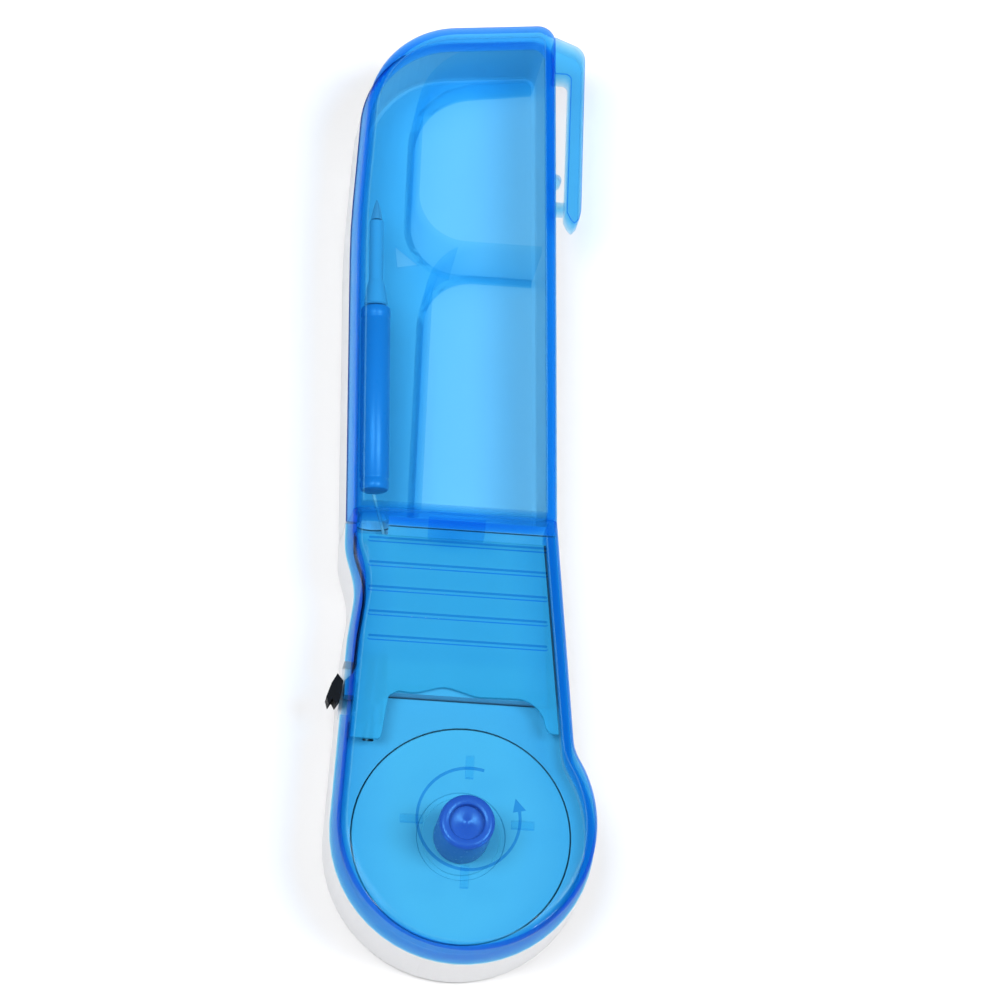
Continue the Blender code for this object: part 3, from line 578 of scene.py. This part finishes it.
def accent(target, less, picks):
    """Deepen the tint of the faces that picks(centre in mm, normal) chooses."""
    marks = target.data.attributes.get(MARK)
    if not marks:
        marks = target.data.attributes.new(MARK, "FLOAT_COLOR", "FACE")
        for value in marks.data:
            value.color = (0, 0, 0, 1)
    for face in target.data.polygons:
        if picks(face.center / MM, face.normal):
            marks.data[face.index].color = (*less, 1)


def on_rim(center, normal):
    return 0.02 < normal.z < 0.75 and center.z > DEPTH - EDGE_R


def on_seam(center, normal):
    return abs(normal.y) > 0.9 and center.z > DEPTH - EDGE_R and abs(center.y - SEAM_Y) < 0.3


def stands_for(piece, *names):
    """The piece takes the place of CAD nodes of one body."""
    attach(piece, bodies[names[0]])
    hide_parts(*names)


def belongs(piece, like):
    """An extra piece that rides with the body of a CAD node."""
    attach(piece, bodies[like])


# ---------------------------------------------------------------- clear shells

def rounding(base, edge_z, radius, steps):
    return [(base + radius * (1 - math.cos(math.pi / 2 * i / steps)),
             edge_z + radius * math.sin(math.pi / 2 * i / steps)) for i in range(steps + 1)]


def clear_shell(name, path, toward_seam):
    """A tray open towards the rear; toward_seam is -1 for the body and 1 for the cap."""
    edge_z = PARTING_Z + GAP / 2 + LIP_HEIGHT
    lip = LIP if toward_seam == 1 else 0.0
    outside = [(-lip, PARTING_Z + GAP / 2), (-lip, edge_z), (0.0, edge_z + 0.01)]
    outside += rounding(DRAFT, DEPTH - EDGE_R, EDGE_R, 10)
    inside = [(WALL, PARTING_Z + GAP / 2)]
    inside += rounding(DRAFT + WALL, DEPTH - SKIN - INNER_R, INNER_R, 6)
    rings = [[(x, y, z) for x, y in inset(path, d, SEAM_Y + toward_seam * GAP / 2)]
             for d, z in outside]
    rings += [[(x, y, z) for x, y in inset(path, d, SEAM_Y + toward_seam * (GAP / 2 + WALL))]
              for d, z in inside]
    count = len(path)
    faces = []
    for level in range(len(rings) - 1):
        if level != len(outside) - 1:
            faces += band(level * count, (level + 1) * count, count)
    outer_top = (len(outside) - 1) * count
    inner_top = (len(rings) - 1) * count
    faces.append(tuple(range(outer_top, outer_top + count)))
    faces.append(tuple(range(inner_top, inner_top + count)))
    faces += band(0, len(outside) * count, count)
    return solid(name, [p for ring in rings for p in ring], faces, blue)


def rib(i):
    """Low bar with round ends, its back falling gently towards the reel."""
    y = RIB_FIRST_Y - RIB_PITCH * i
    x0 = RIB_LEFT_X + RIB_STEP_X * i
    x1 = RIB_RIGHT_X + RIB_STEP_X * i
    rings = []
    for half, drop, z in ((RIB_HALF_WIDTH, 0.0, DEPTH - 1), (RIB_HALF_WIDTH, 0.0, DEPTH + 0.02),
                          (RIB_HALF_WIDTH * 0.45, 0.22, DEPTH + RIB_HEIGHT * 0.8),
                          (RIB_HALF_WIDTH * 0.2, 0.3, DEPTH + RIB_HEIGHT)):
        ends = arc((x1, y), half, -90, 90, 15) + arc((x0, y), half, 90, 270, 15)
        rings.append([(x, py - drop, z) for x, py in ends])
    return solid("rib_%d" % i, *stacked(rings), blue)


def winding_arrow():
    """Plain curved arrow moulded round the hub."""
    middle, half, head_half = 10.2, 0.28, 1.3
    start_deg, end_deg = 75.0, 372.0
    end = math.radians(end_deg)
    head = [(radius * math.cos(angle), radius * math.sin(angle)) for radius, angle in
            ((middle + head_half, end), (middle, end + 0.26), (middle - head_half, end))]
    outline = (arc((0, 0), middle + half, start_deg, end_deg, 4) + head
               + arc((0, 0), middle - half, end_deg, start_deg, 4))
    return prism("winding_arrow", outline, DEPTH - 0.6, DEPTH + 0.22, blue)


def web(i):
    """Stiffening web under the cover, on the hub's cross."""
    turn = math.pi / 2 * i
    (near, far), half = WEB_R, WEB_HALF_WIDTH
    ends = [(near, -half), (far, -half), (far, half), (near, half)]
    outline = [(x * math.cos(turn) - y * math.sin(turn), x * math.sin(turn) + y * math.cos(turn))
               for x, y in ends]
    return prism("web_%d" % i, outline, DEPTH - SKIN - WEB_HEIGHT, DEPTH - SKIN / 2, blue)


cover = clear_shell("cover_shell", body_path(), -1)
combine(cover, box("seam_opening", (SEAM_LEFT_X + WALL + DRAFT, SEAM_Y - 3, PARTING_Z - 1),
                   (SEAM_RIGHT_X - WALL - DRAFT, SEAM_Y + 3, DEPTH - SKIN), blue), "DIFFERENCE")
for i in range(RIB_COUNT):
    combine(cover, rib(i), "UNION")
for i in range(4):
    combine(cover, web(i), "UNION")
combine(cover, winding_arrow(), "UNION")
settle(cover)
# Painted shade: a deeper tint on the rounded rims
accent(cover, PAINTED_RIM_SHADE, on_rim)
accent(cover, SEAM, on_seam)
# Painted shade: a deeper tint on the ribs' upper sides and the arrow
accent(cover, PAINTED_RELIEF_SHADE, lambda center, normal: center.z > DEPTH + 0.01
       and (normal.y > 0.35 or center.y < NECK_Y))
stands_for(cover, "front_cover")

cap = clear_shell("cap_shell", cap_path(), 1)
tongue = rounded([(x, SEAM_Y + y, radius) for x, y, radius in TONGUE])
combine(cap, prism("tongue", tongue, *TONGUE_Z, blue), "UNION")
mouth = [(MOUTH_R, SEAM_Y - MOUTH_REACH), (MOUTH_R, SEAM_Y + MOUTH_REACH)]
combine(cap, rod("cap_mouth", mouth, blue), "DIFFERENCE")
knob_y, knob_r = DETENT
knob = arc((right_wall(knob_y) - 0.3, knob_y), knob_r, 0, 360, 12)[:-1]
combine(cap, prism("knob", knob, *DETENT_Z, blue), "UNION")
ledge_low, ledge_high = LEDGE_Y
combine(cap, box("ledge", (right_wall(ledge_low) - WALL / 2, ledge_low, LEDGE_Z[0]),
                 (right_wall(ledge_high) + LEDGE_REACH, ledge_high, LEDGE_Z[1]), blue), "UNION")
settle(cap)
# Painted shade: a deeper tint on the cap's rounded rims, deepest at its top end
accent(cap, PAINTED_CAP_RIM_SHADE, on_rim)
accent(cap, PAINTED_RIM_SHADE, lambda center, normal: center.z > DEPTH - EDGE_R and normal.y > 0.15
       and 0.02 < normal.z < 0.985)
accent(cap, SEAM, on_seam)
# Painted shadow: the lip's outer faces left of x = -20 mm take the navy of the shaded gap
cap.data.materials.append(painted_gap_shadow)
for face in cap.data.polygons:
    center = face.center / MM
    if (center.z < PARTING_Z + GAP / 2 + LIP_HEIGHT + 0.02 and center.x < -20
            and face.normal.z > -0.5):
        face.material_index = 1
stands_for(cap, "cap_front_shell")


# ---------------------------------------------------------------- cap liner

def liner_parts():
    foot = SEAM_Y + GAP / 2 + WALL + GAP
    half = PARTITION / 2
    left_top, right_top = UPPER_BAY_TOP
    slope = (right_top - left_top) / (BAY_OPEN_X - UPPER_BAY_X)
    top_end_x = right_wall(left_top) - BAY_END_GAP
    top_end_y = left_top + slope * (top_end_x - UPPER_BAY_X) + TOP_RIB
    end_x = right_wall(SHELF_Y) - BAY_END_GAP
    walls = [[(UPPER_BAY_X - PARTITION, SHELF_Y - half, BAY_R + PARTITION),
              (end_x, SHELF_Y - half, 0),
              (top_end_x, top_end_y, 1.5),
              (UPPER_BAY_X - PARTITION, left_top + TOP_RIB, BAY_R + 5)],
             [(CHANNEL_X, foot, 0), (end_x, foot, 0), (end_x, SHELF_Y + half, 0),
              (CHANNEL_X, SHELF_Y + half, BAY_R + PARTITION)]]
    bays = [[(UPPER_BAY_X, SHELF_Y + half, BAY_R), (BAY_OPEN_X, SHELF_Y + half, 0),
             (BAY_OPEN_X, right_top, 0), (UPPER_BAY_X, left_top, BAY_R + 3)],
            [(CHANNEL_X + PARTITION, SEAM_Y, 0), (BAY_OPEN_X, SEAM_Y, 0),
             (BAY_OPEN_X, SHELF_Y - half, 0), (CHANNEL_X + PARTITION, SHELF_Y - half, BAY_R)]]
    outline = inset(cap_path(), WALL + DRAFT + 2 * GAP, foot)
    low, high = LINER_Z
    floor = prism("liner_floor", outline, low, low + LINER_FLOOR, blue_plate)
    sides = prism("liner_walls", rounded(walls[0]), low + LINER_FLOOR, high, blue_thin)
    combine(sides, prism("lower_walls", rounded(walls[1]), low + LINER_FLOOR, high, blue_thin),
            "UNION")
    for i, corners in enumerate(bays):
        for part in (floor, sides):
            tool = prism("%s_bay_%d" % (part.name, i), rounded(corners), -5, DEPTH, blue)
            combine(part, tool, "DIFFERENCE")
    combine(floor, prism("light_hole", LIGHT_HOLE, 0, 6, blue), "DIFFERENCE")
    settle(floor)
    settle(sides)
    return floor, sides


liner_floor, liner_walls = liner_parts()
stands_for(liner_floor, "cap_liner")
belongs(liner_walls, "cap_liner")


# ---------------------------------------------------------------- chamber lid

lid = prism("lid_plate", inset(body_path(), LID_GAP, LID_TOP_Y), *LID_Z, lid_blue)
left_y = LID_LOW_LEFT[0][1]
right_y, from_side = LID_LOW_RIGHT
below = rounded([(-40, -40, 0), (-40, left_y, 0), *[(x, y, 1.0) for x, y in LID_LOW_LEFT],
                 *WAVE, (right_wall_body(right_y) - from_side, right_y, 2.0),
                 (40, right_y, 0), (40, -40, 0)], step_deg=4)
combine(lid, prism("lid_wave", below, 0, DEPTH, lid_blue), "DIFFERENCE")
stands_for(soften(settle(lid), 0.25, 2, 60), "chamber_lid")


# ---------------------------------------------------------------- clip

# Distance from the cap's wall, height and rounding
CLIP = [(-0.6, 158.0, 0), (2.8, 158.0, 1.2), (1.8, 128.4, 0.5), (2.5, 126.96, 0.3),
        (3.4, 126.0, 0.3), (4.4, 127.2, 0.3), (4.8, 129.0, 0.5), (5.8, 163.6, 3.4),
        (-0.6, 166.0, 0)]
clip = prism("clip_strap", rounded([(right_wall(y) + x, y, radius) for x, y, radius in CLIP],
                                   step_deg=8), *CLIP_Z, blue)
soften(clip, 0.5, 4, 40)
# Painted shade: a deeper tint on the clip's rounded edges
accent(clip, PAINTED_RIM_SHADE, lambda center, normal: 0.15 < normal.z < 0.97)
stands_for(clip, "pocket_clip")


# ---------------------------------------------------------------- reel

spool = turned("spool_body", [
    (1.9, 16.0), (1.9, 14.8), (12.0, 14.8), (12.0, 4.0), (21.2, 4.0), (21.6, 4.3), (21.6, 4.9),
    (21.2, 5.2), (13.2, 5.2), (13.2, 14.8), (21.7, 14.8), (21.9, 15.0), (21.9, 15.85),
    (21.75, 16.0), (9.0, 16.0), (8.8, 15.75), (8.0, 15.75), (7.8, 16.0)], pale, steps=144)
stands_for(spool, "spool")
hub = turned("hub_body", [
    (5.6, 16.3), (5.6, 29.7), (5.45, 30.2), (5.1, 30.5), (4.7, 30.6), (3.9, 30.6), (3.6, 30.45),
    (3.45, 30.1), (3.4, 29.2), (1.2, 29.2), (0.9, 29.0), (0, 28.9), (0, 26.6), (1.9, 26.6),
    (1.9, 16.3)], indigo, steps=96)
stands_for(hub, "spool_hub")


# ---------------------------------------------------------------- anchor pin

stands_for(rod("handle_body", [
    (2.3, 69.6), (2.75, 69.8), (3.0, 70.3), (3.0, 71.6), (2.86, 71.8), (2.86, 72.3), (3.0, 72.5),
    (3.0, 105.6), (2.86, 105.8), (2.86, 106.3), (3.0, 106.5), (3.0, 107.9), (2.75, 108.4),
    (2.3, 108.6)], dark, lean_deg=PIN_LEAN_DEG), "pin_handle")
stands_for(rod("collar_body", [
    (2.1, 108.9), (2.4, 109.2), (1.9, 112.9), (1.5, 114.2), (1.45, 114.4), (1.45, 126.8),
    (1.3, 127.0)], pin_blue, 40, PIN_LEAN_DEG), "pin_collar")
stands_for(rod("needle_body", [
    (1.1, 127.3), (1.05, 128.0), (0.9, 128.8), (0.5, 130.4), (0.15, 131.5)], pin_steel, 40,
    PIN_LEAN_DEG), "pin_needle")


# ---------------------------------------------------------------- camera, stage and lights

def make_camera():
    data = bpy.data.cameras.new("camera")
    camera = bpy.data.objects.new("camera", data)
    scene.collection.objects.link(camera)
    data.lens = 208.4
    data.sensor_width = 36
    camera.location = (-0.0893, -0.2427, 1.1475)
    camera.rotation_euler = (math.radians(15.165), math.radians(-5.466), math.radians(2.599))
    scene.camera = camera


def make_stage():
    bpy.ops.mesh.primitive_plane_add(size=6, location=(0, 0, -0.0002))
    floor = bpy.context.object
    floor.name = "floor"
    floor.data.materials.append(plastic("floor", (0.86, 0.86, 0.865), 0.9, vary=0.002))


def area(name, where, target, size, power):
    data = bpy.data.lights.new(name, "AREA")
    data.shape = "RECTANGLE"
    data.size, data.size_y = size
    data.energy = power
    lamp = bpy.data.objects.new(name, data)
    scene.collection.objects.link(lamp)
    lamp.location = where
    lamp.rotation_euler = (Vector(target) - Vector(where)).to_track_quat("-Z", "Y").to_euler()
    return lamp


make_camera()
make_stage()
world = bpy.data.worlds.new("studio")
world.use_nodes = True
background = world.node_tree.nodes["Background"]
background.inputs["Color"].default_value = (1, 1, 1, 1)
background.inputs["Strength"].default_value = 0.34
scene.world = world
for name, x in (("left", -0.45), ("right", 0.58)):
    area(name, (x, 0.0, 1.2), (0, 0.06, 0), (0.4, 0.6), 10.6)
for name, x in (("glint_left", -0.9), ("glint_right", 0.9)):
    glint = area(name, (x, -0.7, 0.26), (0, 0, 0.03), (0.3, 0.2), 8)
    glint.visible_diffuse = False
    glint.visible_volume_scatter = False
scene.view_settings.view_transform = "Standard"
scene.cycles.transparent_max_bounces = 32
scene.cycles.max_bounces = 16
